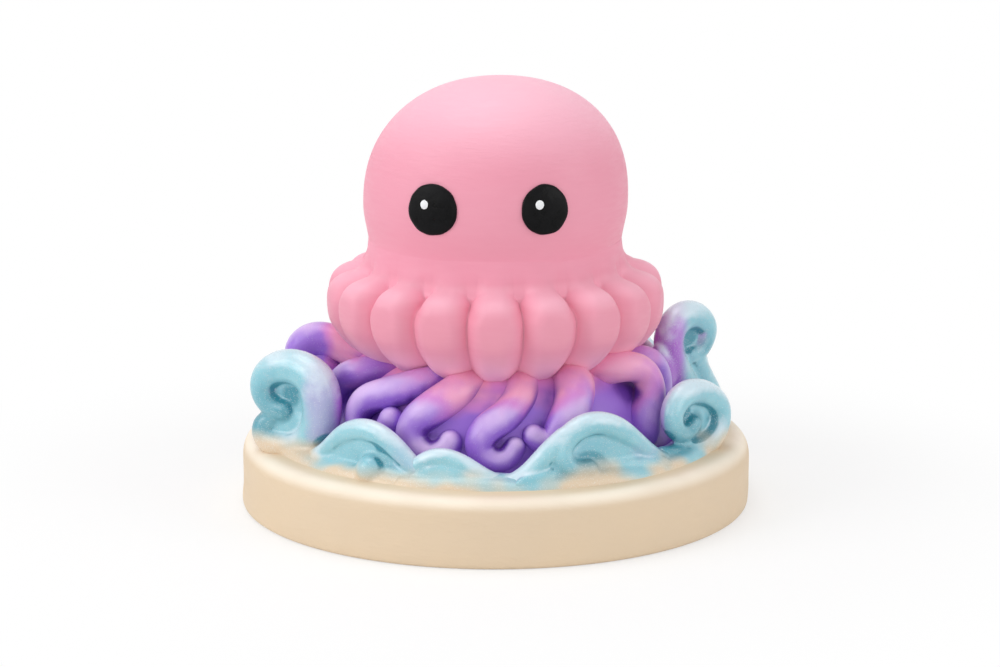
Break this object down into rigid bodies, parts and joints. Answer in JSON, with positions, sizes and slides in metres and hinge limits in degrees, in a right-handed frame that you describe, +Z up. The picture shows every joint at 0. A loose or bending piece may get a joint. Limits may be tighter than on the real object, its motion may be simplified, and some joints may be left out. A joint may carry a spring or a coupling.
{
  "type": "octopus figurine",
  "caption": "Small cast ornament of an octopus with a smooth dome head and curled arms, standing in a ring of curling surf on a round sand plinth.",
  "frame": {"origin": "middle of the flat underside, at the level that it rests on", "axes": "+Z up, the face looks along -Y, +X to the right seen from the front"},
  "size_m": [0.1, 0.1, 0.0834],
  "materials": {
    "sand_paint": "matt cream paint on cast resin",
    "felt": "dark felt",
    "violet_paint": "satin violet paint with a pearl sheen on cast resin",
    "pink_paint": "brushed satin pink paint on cast resin",
    "eye_black": "satin black paint",
    "eye_white": "white paint dot",
    "surf_pearl": "pearl turquoise paint on cast resin"
  },
  "bodies": {
    "root": {"sand_base": "sand_paint", "felt_pad": "felt", "body_core": "violet_paint", "skirt_ring": "pink_paint", "head": "pink_paint", "eye_left": "eye_black", "eye_right": "eye_black", "glint_left": "eye_white", "glint_right": "eye_white", "arm_01": "violet_paint", "arm_02": "violet_paint", "arm_03": "violet_paint", "arm_04": "violet_paint", "arm_05": "violet_paint", "arm_06": "violet_paint", "arm_07": "violet_paint", "arm_08": "violet_paint", "arm_09": "violet_paint", "arm_10": "violet_paint", "arm_11": "violet_paint", "arm_12": "violet_paint", "arm_13": "violet_paint", "arm_14": "violet_paint", "arm_15": "violet_paint", "wave_1": "surf_pearl", "wave_2": "surf_pearl", "wave_3": "surf_pearl", "wave_4": "surf_pearl", "wave_5": "surf_pearl", "wave_6": "surf_pearl", "wave_7": "surf_pearl", "wave_8": "surf_pearl", "wave_9": "surf_pearl", "wave_10": "surf_pearl"}
  },
  "joints": []
}
